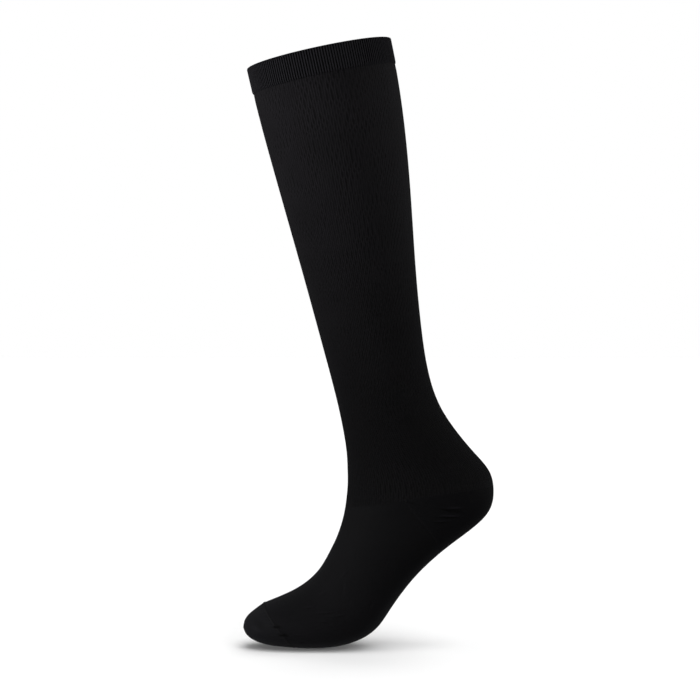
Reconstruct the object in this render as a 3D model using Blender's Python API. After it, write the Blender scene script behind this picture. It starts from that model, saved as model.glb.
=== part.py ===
# Knee-high compression stocking, filled out as it is worn, with the heel raised over the toes.
# Metres, +Z up. The origin is the centre of the cuff's opening, the toes point towards -X,
# and the stocking is the same on both sides of the XZ plane.

import bpy
import numpy as np

MM = 0.001

# Walls, in millimetres: the cuff is a double welt, and the heel and the toe are reinforced
WALL = {"cuff": 2.0, "leg": 1.2, "heel": 1.5, "foot": 1.2, "toe": 1.5}
CUFF_PROUD = 0.4       # how far the welt stands out from the leg
CUFF_ROUND = 0.7       # rounding of the welt's turned edge
SEAM_GAP = 0.3         # clearance between two pieces at a seam
CORNER_GAP = 0.36      # beside the heel's blunt corners, where the edges are slanted
TOE_GAP = 0.39         # at the toe seam's outside, because the inner skins lean together
SHARP_EDGE = np.radians(60)

# Sections of the tube, from the cuff's opening to the toe tip. Each is an oval across the tube.
# x and z: its centre, mm. lean: how far its back end hangs below its front end, degrees.
# depth: from its front to its back, mm. width: across, along Y, mm.
# low: how far its widest line lies behind the centre, as a share of half the depth.
# full: how much squarer it is than an ellipse.
SECTION_COLUMNS = ("x", "z", "lean", "depth", "width", "low", "full")
SECTIONS = (
    (0.0, 0.0, -12.1, 117.9, 108, 0.00, 0.02),       # 0 cuff opening
    (4.5, -20.7, -12.2, 117.2, 107, 0.00, 0.02),     # 1 seam under the welt
    (16.9, -82.0, -11.9, 109.7, 102, 0.00, 0.02),    # 2 calf
    (25.9, -132.2, -11.2, 99.8, 93, 0.00, 0.02),
    (34.5, -182.5, -10.3, 89.2, 80, 0.00, 0.02),     # 4 shin
    (42.2, -225.4, -8.0, 81.8, 69, 0.00, 0.02),
    (49.5, -260.2, -5.2, 78.4, 62, -0.04, 0.02),     # 6 narrowest part of the ankle
    (57.0, -285.7, -3.0, 81.3, 60, -0.06, 0.02),
    (65.5, -305.6, -1.8, 90.5, 60, -0.06, 0.03),
    (74.6, -323.4, -0.2, 104.0, 61, -0.04, 0.04),
    (80.8, -337.2, 1.0, 115.2, 62, 0.00, 0.05),      # 10
    (82.4, -350.1, 2.5, 118.3, 63, 0.04, 0.06),      # 11 back of the heel
    (80.5, -363.2, 4.6, 116.6, 64, 0.08, 0.07),      # 12 instep
    (73.4, -375.8, 6.6, 106.2, 65, 0.12, 0.08),
    (62.8, -388.6, 8.9, 91.4, 67, 0.14, 0.08),
    (52.2, -401.3, 11.9, 79.5, 70, 0.15, 0.08),      # 15 arch
    (42.5, -413.8, 15.1, 72.1, 74, 0.16, 0.08),
    (33.5, -426.4, 18.9, 68.2, 79, 0.18, 0.08),
    (24.4, -438.0, 22.6, 68.9, 84, 0.20, 0.08),      # 18 ball of the foot
    (14.6, -448.0, 27.0, 71.4, 87, 0.20, 0.08),
    (0.6, -455.9, 33.9, 67.6, 88, 0.18, 0.08),
    (-16.2, -460.2, 43.4, 56.0, 86, 0.14, 0.08),
    (-34.7, -462.2, 55.5, 40.9, 78, 0.10, 0.08),     # 22 just past the toe seam
    (-46.4, -463.6, 66.1, 30.2, 66, 0.06, 0.07),
    (-54.4, -464.0, 74.4, 21.2, 50, 0.03, 0.06),
    (-59.2, -464.1, 79.6, 12.0, 29, 0.00, 0.04),
    (-61.5, -464.0, 84.0, 0.0, 0, 0.00, 0.00),       # 26 toe tip
)

# Where the pieces meet, as section numbers in the table above
WELT_SEAM = 1.0
JOIN_FRONT = 12.65     # leg and foot, over the instep
GORE_TIP = 11.75       # leg, heel and foot, on each side
HEEL_TOP = 10.75       # leg and heel, at the back
HEEL_BOTTOM = 14.6     # heel and foot, underneath
TOE_SEAM = 21.85
TOE_TIP = 26.0

# Round the tube: 0 is the front, half a turn is the back
GORE_ANGLE = np.radians(75)     # where the gore tips lie
GORE_BLUNT = np.radians(1.2)    # the jog that leg and foot make there, for the heel's blunt corner
HEEL_CORNER = 0.08              # height of that corner, as a share of the pocket's height
GORE_SPREAD = 0.7               # below 1, the gore lines part faster at the tips
FRONT_COLUMNS = 18
BACK_COLUMNS = 24

# Rows of the mesh along each piece, and how much closer they crowd towards its lower edge
ROWS = {"cuff": 4, "leg": 19, "heel": 9, "foot": 16, "toe": 8}
CROWDING = {"cuff": 0.0, "leg": 0.5, "heel": 0.0, "foot": 0.0, "toe": 0.0}

YARN = {
    "cuff": ((0.012, 0.012, 0.014), 0.75),
    "leg": ((0.010, 0.010, 0.012), 0.80),
    "heel": ((0.007, 0.007, 0.008), 0.85),
    "foot": ((0.010, 0.010, 0.012), 0.80),
    "toe": ((0.011, 0.011, 0.013), 0.80),
}


def clear_scene():
    for item in list(bpy.data.objects):
        bpy.data.objects.remove(item, do_unlink=True)


def section_ends(table):
    """Front end, back end and side of every section, as (x, y, z)."""
    lean = np.radians(table["lean"])
    zero = np.zeros_like(lean)
    centre = np.stack([table["x"], zero, table["z"]], axis=-1)
    back = np.stack([np.cos(lean), zero, -np.sin(lean)], axis=-1) * table["depth"][:, None] / 2
    side = np.stack([zero, table["width"] / 2, zero], axis=-1)
    return centre - back, centre + back, centre + side


def section_knots(table):
    """Distance along the cloth of every section, averaged over its front, back and side."""
    steps = [np.linalg.norm(np.diff(line, axis=0), axis=1) for line in section_ends(table)]
    return np.concatenate([[0.0], np.cumsum(np.mean(steps, axis=0))])


def spline_bends(knots, values):
    """Second derivatives of the natural cubic spline through the values."""
    count = len(knots)
    step = np.diff(knots)
    matrix = np.eye(count)
    rise = np.zeros(count)
    for i in range(1, count - 1):
        matrix[i, i - 1:i + 2] = step[i - 1], 2 * (step[i - 1] + step[i]), step[i]
        rise[i] = 6 * ((values[i + 1] - values[i]) / step[i] - (values[i] - values[i - 1]) / step[i - 1])
    return np.linalg.solve(matrix, rise)


def spline_at(knots, values, bends, place):
    """The cubic spline's value at each place along the knots."""
    i = np.clip(np.searchsorted(knots, place) - 1, 0, len(knots) - 2)
    width = knots[i + 1] - knots[i]
    before = (knots[i + 1] - place) / width
    after = 1 - before
    curve = (before**3 - before) * bends[i] + (after**3 - after) * bends[i + 1]
    return before * values[i] + after * values[i + 1] + curve * width**2 / 6


TABLE = {name: np.array(column, dtype=float) for name, column in zip(SECTION_COLUMNS, zip(*SECTIONS))}
KNOTS = section_knots(TABLE)
BENDS = {name: spline_bends(KNOTS, TABLE[name]) for name in SECTION_COLUMNS}


def place_of(section):
    """Distance along the cloth, mm, of a section number, whole or not."""
    return np.interp(section, np.arange(len(KNOTS)), KNOTS)


def tube_point(place, angle):
    """Point on the outside of the tube, mm, at a distance along it and an angle round it."""
    value = {name: spline_at(KNOTS, TABLE[name], BENDS[name], place) for name in SECTION_COLUMNS}
    forward = np.cos(angle) * (1 + value["full"] * np.sin(angle)**2)
    across = np.sin(angle) * (1 + value["full"] * np.cos(angle)**2)
    back = -forward + value["low"] * np.sin(angle)**2
    lean = np.radians(value["lean"])
    half = value["depth"] / 2
    x = value["x"] + back * half * np.cos(lean)
    y = across * value["width"] / 2
    z = value["z"] - back * half * np.sin(lean)
    return np.stack([x, y, z], axis=-1)


def tube_normal(place, angle):
    """Direction out of the tube, from small steps along it and round it."""
    step = 0.05
    turn = 0.002
    inside = np.clip(place, step, KNOTS[-1] - step)
    along = tube_point(inside + step, angle) - tube_point(inside - step, angle)
    round_it = tube_point(inside, angle + turn) - tube_point(inside, angle - turn)
    normal = np.cross(round_it, along)
    return normal / np.linalg.norm(normal, axis=-1, keepdims=True)


def moved_along(place, angle, distance):
    """The place that lies a distance in mm further along the cloth, at that angle."""
    step = 0.5
    reach = tube_point(place + step, angle) - tube_point(place - step, angle)
    return place + distance * 2 * step / np.linalg.norm(reach, axis=-1)


def beyond_seam(seam, angles):
    """How far along the cloth to move off a slanted seam, to leave the full gap across it.

    The piece on its other side has moved off by half the gap.
    """
    step = 0.5
    line = tube_point(seam, angles)
    chord = np.diff(line, axis=0)
    along = tube_point(seam + step, angles) - tube_point(seam - step, angles)
    along = (along / np.linalg.norm(along, axis=-1, keepdims=True))[:-1]
    rise = (chord * along).sum(axis=-1) / np.linalg.norm(chord, axis=-1)
    steep = 1 / np.sqrt(1 - rise**2)
    widest = np.maximum(np.append(steep, steep[-1]), np.insert(steep, 0, steep[0]))
    return SEAM_GAP * (widest - 0.5)


def column_angles():
    """Angles of the mesh columns: a front fan between the gore tips and a back fan behind them."""
    half_blunt = GORE_BLUNT / 2
    front = np.linspace(half_blunt - GORE_ANGLE, GORE_ANGLE - half_blunt, FRONT_COLUMNS)
    back = np.linspace(GORE_ANGLE + half_blunt, 2 * np.pi - GORE_ANGLE - half_blunt, BACK_COLUMNS)
    return front, back


def join_section(angle):
    """Section number of the line that leg and foot share, dropping from the gore tips to the instep."""
    from_front = np.abs((angle + np.pi) % (2 * np.pi) - np.pi)
    share = np.clip(from_front / GORE_ANGLE, 0, 1)
    return JOIN_FRONT + (GORE_TIP - JOIN_FRONT) * share**2


def heel_opening(angle):
    """How far the heel pocket is open at an angle: 0 in front of the gore tips and 1 at the back."""
    from_back = np.abs(angle % (2 * np.pi) - np.pi)
    share = np.clip(1 - from_back / (np.pi - GORE_ANGLE), 0, 1)
    behind = share > 0
    spread = np.sin(share * np.pi / 2)**GORE_SPREAD
    return np.where(behind, HEEL_CORNER + (1 - HEEL_CORNER) * spread, 0.0)


def leg_end(angle):
    """Place of the leg's lower edge."""
    tip = place_of(join_section(angle))
    return tip + (place_of(HEEL_TOP) - place_of(GORE_TIP)) * heel_opening(angle)


def foot_start(angle):
    """Place of the foot's upper edge."""
    tip = place_of(join_section(angle))
    return tip + (place_of(HEEL_BOTTOM) - place_of(GORE_TIP)) * heel_opening(angle)


def wall_points(name, first, last, angles, proud=0.0):
    """Outer and inner grid of points, mm, of a piece's wall from one edge to the other."""
    share = np.linspace(0, 1, ROWS[name])[:, None]
    share = share + CROWDING[name] * share * (1 - share)
    place = first * (1 - share) + last * share
    angle = np.broadcast_to(angles, place.shape)
    surface = tube_point(place, angle)
    out = tube_normal(place, angle)
    return surface + proud * out, surface + (proud - WALL[name]) * out


def wall_mesh(name, outer, inner, closed=True, tips=()):
    """Mesh of a wall, whose rows run down its outside, over its lower edge and up its inside."""
    rows, columns, _ = outer.shape
    corners = np.concatenate([outer, inner[::-1]]).reshape(-1, 3)
    point = np.arange(len(corners)).reshape(2 * rows, columns)
    faces = []
    for row in range(2 * rows):
        if len(tips) and row == rows - 1:
            continue
        below = (row + 1) % (2 * rows)
        for column in range(columns if closed else columns - 1):
            after = (column + 1) % columns
            faces.append((point[row, column], point[row, after], point[below, after], point[below, column]))
    if not closed:
        for row in range(rows - 1):
            within = 2 * rows - 1 - row
            for side, one, two in ((0, 0, 1), (-1, 1, 0)):
                faces.append((point[row + one, side], point[row + two, side],
                              point[within - two, side], point[within - one, side]))
    if len(tips):
        outer_tip = len(corners)
        corners = np.vstack([corners, tips])
        for column in range(columns):
            after = (column + 1) % columns
            faces.append((point[rows - 1, column], point[rows - 1, after], outer_tip))
            faces.append((point[rows, after], point[rows, column], outer_tip + 1))
    mesh = bpy.data.meshes.new(name)
    mesh.from_pydata((corners * MM).tolist(), [], [tuple(int(i) for i in face) for face in faces])
    mesh.validate()
    return mesh


def yarn_material(name):
    colour, roughness = YARN[name]
    material = bpy.data.materials.new(name + "_yarn")
    material.use_nodes = True
    shader = material.node_tree.nodes["Principled BSDF"]
    shader.inputs["Base Color"].default_value = (*colour, 1.0)
    shader.inputs["Roughness"].default_value = roughness
    shader.inputs["Metallic"].default_value = 0.0
    return material


def cloth_piece(name, mesh):
    """Object of a piece's mesh, smooth but for the edges of its wall."""
    mesh.shade_smooth()
    mesh.set_sharp_from_angle(angle=SHARP_EDGE)
    mesh.materials.append(yarn_material(name))
    piece = bpy.data.objects.new(name, mesh)
    bpy.context.scene.collection.objects.link(piece)
    return piece


def make_cuff(angles):
    """Turned welt: a band that stands just proud of the leg, with rounded edges."""
    seam = np.full_like(angles, place_of(WELT_SEAM))
    lower = moved_along(seam, angles, -SEAM_GAP / 2)
    outer, inner = wall_points("cuff", np.zeros_like(angles), lower, angles, CUFF_PROUD)
    cuff = cloth_piece("cuff", wall_mesh("cuff", outer, inner))
    turned = cuff.modifiers.new("turned edge", "BEVEL")
    turned.width = CUFF_ROUND * MM
    turned.segments = 2
    turned.limit_method = "ANGLE"
    turned.angle_limit = SHARP_EDGE


def make_leg(angles):
    """Ribbed tube from the welt to the gore lines and the instep."""
    seam = np.full_like(angles, place_of(WELT_SEAM))
    upper = moved_along(seam, angles, SEAM_GAP / 2)
    lower = moved_along(leg_end(angles), angles, -SEAM_GAP / 2)
    outer, inner = wall_points("leg", upper, lower, angles)
    cloth_piece("leg", wall_mesh("leg", outer, inner))


def make_heel(back):
    """Pocket between the gore lines, which meet in a blunt corner on each side."""
    clearance = 2 * CORNER_GAP / TABLE["width"][round(GORE_TIP)]
    angles = np.concatenate([[back[0] + clearance], back[1:-1], [back[-1] - clearance]])
    upper_seam = np.interp(angles, back, leg_end(back))
    lower_seam = np.interp(angles, back, foot_start(back))
    upper = moved_along(upper_seam, angles, beyond_seam(upper_seam, angles))
    lower = moved_along(lower_seam, angles, -beyond_seam(lower_seam, angles))
    outer, inner = wall_points("heel", upper, lower, angles)
    cloth_piece("heel", wall_mesh("heel", outer, inner, closed=False))


def make_foot(angles):
    """Tube from the gore lines and the instep to the toe seam."""
    upper = moved_along(foot_start(angles), angles, SEAM_GAP / 2)
    seam = np.full_like(angles, place_of(TOE_SEAM))
    lower = moved_along(seam, angles, -SEAM_GAP / 2)
    outer, inner = wall_points("foot", upper, lower, angles)
    cloth_piece("foot", wall_mesh("foot", outer, inner))


def make_toe(angles):
    """Closed cap from the toe seam to the toe tip, where its rows shrink to a point."""
    seam = np.full_like(angles, place_of(TOE_SEAM))
    upper = moved_along(seam, angles, TOE_GAP - SEAM_GAP / 2)
    end = np.full_like(angles, place_of(TOE_TIP))
    outer, inner = wall_points("toe", upper, end, angles)
    tips = outer[-1].mean(axis=0), inner[-1].mean(axis=0)
    cloth_piece("toe", wall_mesh("toe", outer[:-1], inner[:-1], tips=tips))


def main():
    clear_scene()
    front, back = column_angles()
    all_round = np.concatenate([front, back])
    make_cuff(all_round)
    make_leg(all_round)
    make_heel(back)
    make_foot(all_round)
    make_toe(all_round)


main()
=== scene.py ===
import bpy
import numpy as np
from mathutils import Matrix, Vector


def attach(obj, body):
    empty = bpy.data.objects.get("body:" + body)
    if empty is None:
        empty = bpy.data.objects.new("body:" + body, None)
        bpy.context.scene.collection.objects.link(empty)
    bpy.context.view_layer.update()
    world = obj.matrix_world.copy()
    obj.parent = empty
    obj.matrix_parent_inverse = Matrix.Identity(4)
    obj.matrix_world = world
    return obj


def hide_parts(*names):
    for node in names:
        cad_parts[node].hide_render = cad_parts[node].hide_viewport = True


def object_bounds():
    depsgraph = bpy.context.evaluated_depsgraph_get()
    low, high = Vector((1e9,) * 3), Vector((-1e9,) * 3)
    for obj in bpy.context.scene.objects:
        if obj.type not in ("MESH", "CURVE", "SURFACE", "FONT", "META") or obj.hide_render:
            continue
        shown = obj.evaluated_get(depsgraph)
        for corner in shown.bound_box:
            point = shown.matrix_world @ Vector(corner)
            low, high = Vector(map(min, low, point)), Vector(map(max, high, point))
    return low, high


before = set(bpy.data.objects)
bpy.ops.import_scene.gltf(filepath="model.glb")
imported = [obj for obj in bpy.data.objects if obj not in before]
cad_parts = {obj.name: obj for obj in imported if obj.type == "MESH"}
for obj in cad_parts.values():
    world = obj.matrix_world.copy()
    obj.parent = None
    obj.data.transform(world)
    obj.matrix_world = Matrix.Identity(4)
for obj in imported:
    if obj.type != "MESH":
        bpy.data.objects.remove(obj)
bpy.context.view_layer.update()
mm = 0.001
fullTurn = 2 * np.pi
print("frame loaded:", ", ".join(sorted(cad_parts)))

# Ovals across the tube from the cuff's opening to the toe tip, in millimetres from the mount.
# lean is how far the back end hangs below the front end, in degrees. low moves the widest line
# back, as a share of half the depth, and full squares the oval off.
sectionColumns = ("x", "z", "lean", "depth", "width", "low", "full")
sections = (
    (0.0, 0.0, -12.1, 117.9, 108, 0.00, 0.02),       # cuff opening
    (4.5, -20.7, -12.2, 117.2, 107, 0.00, 0.02),     # seam under the welt
    (16.9, -82.0, -11.9, 109.7, 102, 0.00, 0.02),
    (25.9, -132.2, -11.2, 99.8, 93, 0.00, 0.02),
    (34.5, -182.5, -10.3, 89.2, 80, 0.00, 0.02),     # shin
    (42.2, -225.4, -8.0, 81.8, 69, 0.00, 0.02),
    (49.5, -260.2, -5.2, 78.4, 62, -0.04, 0.02),     # ankle
    (57.0, -285.7, -3.0, 81.3, 60, -0.06, 0.02),
    (65.5, -305.6, -1.8, 90.5, 60, -0.06, 0.03),
    (74.6, -323.4, -0.2, 104.0, 61, -0.04, 0.04),
    (80.8, -337.2, 1.0, 115.2, 62, 0.00, 0.05),
    (82.4, -350.1, 2.5, 118.3, 63, 0.04, 0.06),      # back of the heel
    (80.5, -363.2, 4.6, 116.6, 64, 0.08, 0.07),      # instep
    (73.4, -375.8, 6.6, 106.2, 65, 0.12, 0.08),
    (62.8, -388.6, 8.9, 91.4, 67, 0.14, 0.08),
    (52.2, -401.3, 11.9, 79.5, 70, 0.15, 0.08),      # arch
    (42.5, -413.8, 15.1, 72.1, 74, 0.16, 0.08),
    (33.5, -426.4, 18.9, 68.2, 79, 0.18, 0.08),
    (24.4, -438.0, 22.6, 68.9, 84, 0.20, 0.08),      # ball of the foot
    (14.6, -448.0, 27.0, 71.4, 87, 0.20, 0.08),
    (0.6, -455.9, 33.9, 67.6, 88, 0.18, 0.08),
    (-16.2, -460.2, 43.4, 56.0, 86, 0.14, 0.08),
    (-34.7, -462.2, 55.5, 40.9, 78, 0.10, 0.08),     # toe seam
    (-46.4, -463.6, 66.1, 30.2, 66, 0.06, 0.07),
    (-54.4, -464.0, 74.4, 21.2, 50, 0.03, 0.06),
    (-59.2, -464.1, 79.6, 12.0, 29, 0.00, 0.04),
    (-61.5, -464.0, 84.0, 0.0, 0, 0.00, 0.00),       # toe tip
)

# Where the pieces meet, as section numbers
joins = {
    "weltSeam": 1.0,
    "instep": 12.65,
    "goreTip": 11.75,
    "goreAngle": 75,       # degrees from the front
    "heelTop": 10.75,
    "heelBottom": 14.6,
    "goreSpread": 0.7,     # below 1, the gore lines part faster at the tips
    "toeSeam": 21.85,
}

table = {name: np.array(column, float) for name, column in zip(sectionColumns, zip(*sections))}


# Distance between sections along the cloth, averaged over the front, the back and the side
def sectionKnots():
    lean = np.radians(table["lean"])
    half = table["depth"] / 2
    steps = []
    for end in (-1, 1):
        line = (table["x"] + end * half * np.cos(lean), table["z"] - end * half * np.sin(lean))
        steps.append(np.hypot(*np.diff(line, axis=1)))
    side = (table["x"], table["z"], table["width"] / 2)
    steps.append(np.sqrt((np.diff(side, axis=1) ** 2).sum(axis=0)))
    return np.concatenate([[0.0], np.cumsum(np.mean(steps, axis=0))])


# Natural cubic spline: its second derivatives, from one equation for each inner knot
def splineBends(values):
    count = len(knots)
    gap = np.diff(knots)
    matrix = np.eye(count)
    inner = np.arange(1, count - 1)
    matrix[inner, inner - 1] = gap[:-1]
    matrix[inner, inner] = 2 * (gap[:-1] + gap[1:])
    matrix[inner, inner + 1] = gap[1:]
    slope = np.diff(values) / gap
    rise = np.zeros(count)
    rise[1:-1] = 6 * np.diff(slope)
    return np.linalg.solve(matrix, rise)


knots = sectionKnots()
bends = {name: splineBends(table[name]) for name in sectionColumns}
lastPlace = knots[-1]


# The spline's value: the two nearest rows weighed by distance, plus the pull of their bends
def splineAt(name, place):
    i = np.clip(np.searchsorted(knots, place) - 1, 0, len(knots) - 2)
    gap = knots[i + 1] - knots[i]
    before = (knots[i + 1] - place) / gap
    after = 1 - before
    pull = (before**3 - before) * bends[name][i] + (after**3 - after) * bends[name][i + 1]
    return before * table[name][i] + after * table[name][i + 1] + pull * gap**2 / 6


# Place along the cloth of a section number, in millimetres from the cuff
def placeOf(section):
    return np.interp(section, np.arange(len(knots)), knots)


weltSeamPlace = placeOf(joins["weltSeam"])
toeSeamPlace = placeOf(joins["toeSeam"])


# A point of the tube: the section's centre, plus its half depth along the leaning line and its
# half width along Y, by the cosine and sine of the turn from the front
def tubePoint(place, turn):
    value = {name: splineAt(name, place) for name in sectionColumns}
    forward = np.cos(turn) * (1 + value["full"] * np.sin(turn) ** 2)
    across = np.sin(turn) * (1 + value["full"] * np.cos(turn) ** 2)
    back = (-forward + value["low"] * np.sin(turn) ** 2) * value["depth"] / 2
    lean = np.radians(value["lean"])
    x = value["x"] + back * np.cos(lean)
    z = value["z"] - back * np.sin(lean)
    return np.stack([x, across * value["width"] / 2, z], axis=-1)


def unit(vectors):
    return vectors / np.linalg.norm(vectors, axis=-1, keepdims=True)


# Bell curve: the exponential of minus the square of a distance, counted in its reach
def bell(distance, reach=1.0):
    return np.exp(-((distance / reach) ** 2))


# Directions along the cloth, round it and out of it, from small steps each way
def tubeAxes(place, turn):
    step, twist = 0.05, 0.002
    inside = np.clip(place, step, lastPlace - step)
    along = unit(tubePoint(inside + step, turn) - tubePoint(inside - step, turn))
    rounding = tubePoint(inside, turn + twist) - tubePoint(inside, turn - twist)
    out = unit(np.cross(rounding, along))
    return along, np.cross(along, out), out


# Section number of the line that leg and foot share: it drops from the gore tips to the instep
def joinSection(turn):
    fromFront = np.abs((turn + np.pi) % fullTurn - np.pi)
    share = np.clip(fromFront / np.radians(joins["goreAngle"]), 0, 1)
    return joins["goreTip"] + (joins["instep"] - joins["goreTip"]) * (1 - share**2)


# How far the heel pocket is open: a power of the sine from the gore tip to the back
def heelOpening(turn):
    fromBack = np.abs(turn % fullTurn - np.pi)
    share = np.clip(1 - fromBack / (np.pi - np.radians(joins["goreAngle"])), 0, 1)
    return np.sin(share * np.pi / 2) ** joins["goreSpread"]


# The leg's lower edge and the foot's upper edge: the line they share, raised or dropped by how
# far the pocket is open
def legEdge(turn):
    rise = placeOf(joins["heelTop"]) - placeOf(joins["goreTip"])
    return placeOf(joinSection(turn)) + rise * heelOpening(turn)


def footEdge(turn):
    drop = placeOf(joins["heelBottom"]) - placeOf(joins["goreTip"])
    return placeOf(joinSection(turn)) + drop * heelOpening(turn)


knit = {
    "ribs": 176,           # raised ribs round the tube, the same from welt to instep
    "courseHeight": 0.9,   # mm
    "ribSharpness": 0.7,   # below 1, round ribs with narrow grooves
    "lowestRib": 0.75,     # as a share of the highest
    "walesPerRib": 2,      # a column of stitches on each rib and one in each groove
    "stitchSlant": 1.2,    # how steeply a stitch's two legs run together
    "seed": 4,
}
ribVariation = np.random.default_rng(knit["seed"]).uniform(knit["lowestRib"], 1.0, knit["ribs"])


# Rib height: a power of the cosine's size, so that each rib is round and each groove narrow
def ribHeight(turn, height):
    phase = turn / fullTurn * knit["ribs"]
    ridge = np.abs(np.cos(np.pi * phase)) ** knit["ribSharpness"]
    uneven = ribVariation[np.round(phase).astype(int) % knit["ribs"]]
    return height * ridge * uneven


creaseShape = {
    "fade": 1.5,           # how soon it dies out towards its ends
    "trough": 0.7,         # depth of the trough beside it, as a share of the ridge
    "troughAway": 1.5,     # how far away the trough is, in widths
}


# A soft ridge with a trough beside it. Both are bell curves across the crease, and another bell
# curve makes them fade out along it. Each crease has its section, degrees from the front, length,
# width and height in mm, and slant in degrees.
def creaseHeight(place, turn, creases):
    nudge = 0.02
    total = np.zeros(np.broadcast(place, turn).shape)
    for section, degrees, length, width, height, slant in creases:
        middle = placeOf(section)
        angle = np.radians(degrees)
        radius = np.linalg.norm(tubePoint(middle, angle + nudge) - tubePoint(middle, angle)) / nudge
        down = place - middle
        aside = ((turn - angle + np.pi) % fullTurn - np.pi) * radius
        lean = np.radians(slant)
        run = (aside * np.cos(lean) + down * np.sin(lean)) / (length / 2)
        off = (down * np.cos(lean) - aside * np.sin(lean)) / width
        fade = np.exp(-run**2 * creaseShape["fade"])
        trough = creaseShape["trough"] * bell(off - creaseShape["troughAway"])
        total += height * fade * (bell(off) - trough)
    return total


sharpAngle = 60            # edges that turn more than this stay crisp, in degrees


# A mesh from corners, four-sided and three-sided faces and, for each face corner, its knit map
def meshOf(name, corners, quads, quadMap, triangles=None, triangleMap=None, paintedShading=None):
    mesh = bpy.data.meshes.new(name)
    loops = quads.ravel()
    starts = np.arange(len(quads)) * 4
    places = quadMap.reshape(-1, 2)
    if triangles is not None:
        starts = np.concatenate([starts, len(loops) + np.arange(len(triangles)) * 3])
        loops = np.concatenate([loops, triangles.ravel()])
        places = np.concatenate([places, triangleMap.reshape(-1, 2)])
    mesh.vertices.add(len(corners))
    mesh.vertices.foreach_set("co", (corners * mm).ravel())
    mesh.loops.add(len(loops))
    mesh.loops.foreach_set("vertex_index", loops)
    mesh.polygons.add(len(starts))
    mesh.polygons.foreach_set("loop_start", starts)
    mesh.update(calc_edges=True)
    layer = mesh.uv_layers.new(name="knit")
    layer.data.foreach_set("uv", places.ravel())
    # painted shading for each point: painted highlight where positive, painted shade where negative
    paintedValues = np.zeros(len(corners))
    if paintedShading is not None:
        paintedValues[:paintedShading.size] = paintedShading.ravel()
    mesh.attributes.new("paintedShading", "FLOAT", "POINT").data.foreach_set("value", paintedValues)
    mesh.validate()
    mesh.shade_smooth()
    mesh.set_sharp_from_angle(angle=np.radians(sharpAngle))
    return mesh


# Corner numbers and knit places of a grid's faces, with rows down and columns round
def gridFaces(rows, columns, wales, courses, closedDown, closedRound):
    r = np.arange(rows if closedDown else rows - 1)[:, None]
    c = np.arange(columns if closedRound else columns - 1)[None, :]
    below, after = (r + 1) % rows, (c + 1) % columns
    corner = [(r, c), (r, after), (below, after), (below, c)]
    quads = np.stack([row * columns + column + 0 * (r + c) for row, column in corner], axis=-1)
    ahead = [0, 1, 1, 0]
    u = np.stack([wales[c + step] + 0 * r for step in ahead], axis=-1)
    v = np.stack([courses[row, column] for row, column in corner], axis=-1)
    return quads.reshape(-1, 4), np.stack([u, v], axis=-1).reshape(-1, 4, 2)


def inScene(name, data):
    item = bpy.data.objects.new(name, data)
    bpy.context.scene.collection.objects.link(item)
    return item


def pieceOf(name, mesh, material, slot, *nodes):
    piece = inScene(name, mesh)
    mesh.materials.append(material)
    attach(piece, "root")
    if nodes:
        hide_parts(*nodes)
    print("made", name, len(mesh.polygons), "faces")
    return piece


def walesOf(turn):
    return np.append(turn, turn[0] + fullTurn) / fullTurn * knit["ribs"]


# ribs is how strong the painted shade in the grooves between ribs and the painted highlight on the
# ribs are, and the fold shading how much painted highlight a crest and painted shade a trough gets
plainYarn = {"colour": (0.0055, 0.0052, 0.0064), "lift": 1.5, "bump": 0.4, "rough": 0.66, "sheen": 0.012,
             "ribs": 0.0, "paintedFoldShading": 1.2}
yarn = {
    "welt": plainYarn | {"colour": (0.0056, 0.0053, 0.0064), "bump": 0.6, "ribs": 3.8, "ribBump": 2.4,
                         "sway": 0.04, "swayCourses": 22, "patchFrom": 0.15},
    "leg": plainYarn | {"colour": (0.0059, 0.0054, 0.0064), "bump": 0.6, "ribs": 1.0, "ribBump": 1.2,
                        "sway": 0.30, "swayCourses": 13, "patchFrom": 0.32},
    "heel": plainYarn | {"colour": (0.0021, 0.0020, 0.0026), "sheen": 0.008, "paintedFoldShading": 4.0},
    "foot": plainYarn,
    "toe": plainYarn | {"colour": (0.0057, 0.0056, 0.0067)},
    "thread": plainYarn | {"colour": (0.0062, 0.0061, 0.0068), "bump": 0.2, "paintedFoldShading": 0.5},
}

surface = {
    "specular": 0.06,
    "sheenRough": 0.35,
    "sheenTint": (0.80, 0.86, 1.0, 1.0),
    "fibreScale": 1800,    # noise sizes: features per metre
    "mottleScale": 28,
    "patchScale": 60,
    "driftScale": 70,
    "drift": 14.0,         # how far neighbouring stretches of rib are out of step
    "mottle": 0.55,
    "evenTone": 0.23,
    "fibreBump": 0.5,
    "fibreRough": 0.16,
    "stitchTone": 0.5,
    "ribEdge": 1.3,        # above 1, broader grooves
    "ribMiddle": 0.55,     # ridge height that leaves the tone as it is
    "patchEdge": 4.0,      # how sharply the patches end
    "bumpDepth": 0.25,     # mm
    "toneRange": (0.30, 1.10),
    "darkLift": 0.60,      # colour at the low end of that range, as a share of the yarn's
    "darkest": 0.15,
}

# Knit looks greyer where it is stretched wide and blacker where it sits close, and painted shade
# makes it darker towards the ankle, the instep and the back of the heel: each yarn's closest and
# most stretched places, x and z in metres, and its tone there
stretchAndShade = {
    "welt": ((0.03, -0.27), (0.0, -0.03), 0.70, 1.02),
    "leg": ((0.04, -0.30), (0.0, -0.05), 0.37, 1.28),
    "heel": ((0.11, -0.36), (0.06, -0.33), 0.8, 1.0),
    "foot": ((0.07, -0.38), (-0.04, -0.45), 0.33, 0.71),
    "toe": ((0.07, -0.38), (-0.04, -0.45), 0.75, 0.98),
    "thread": ((0.07, -0.38), (-0.04, -0.45), 0.9, 1.1),
}


def setInputs(node, values):
    for socket, value in values.items():
        node.inputs[socket].default_value = value


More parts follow.
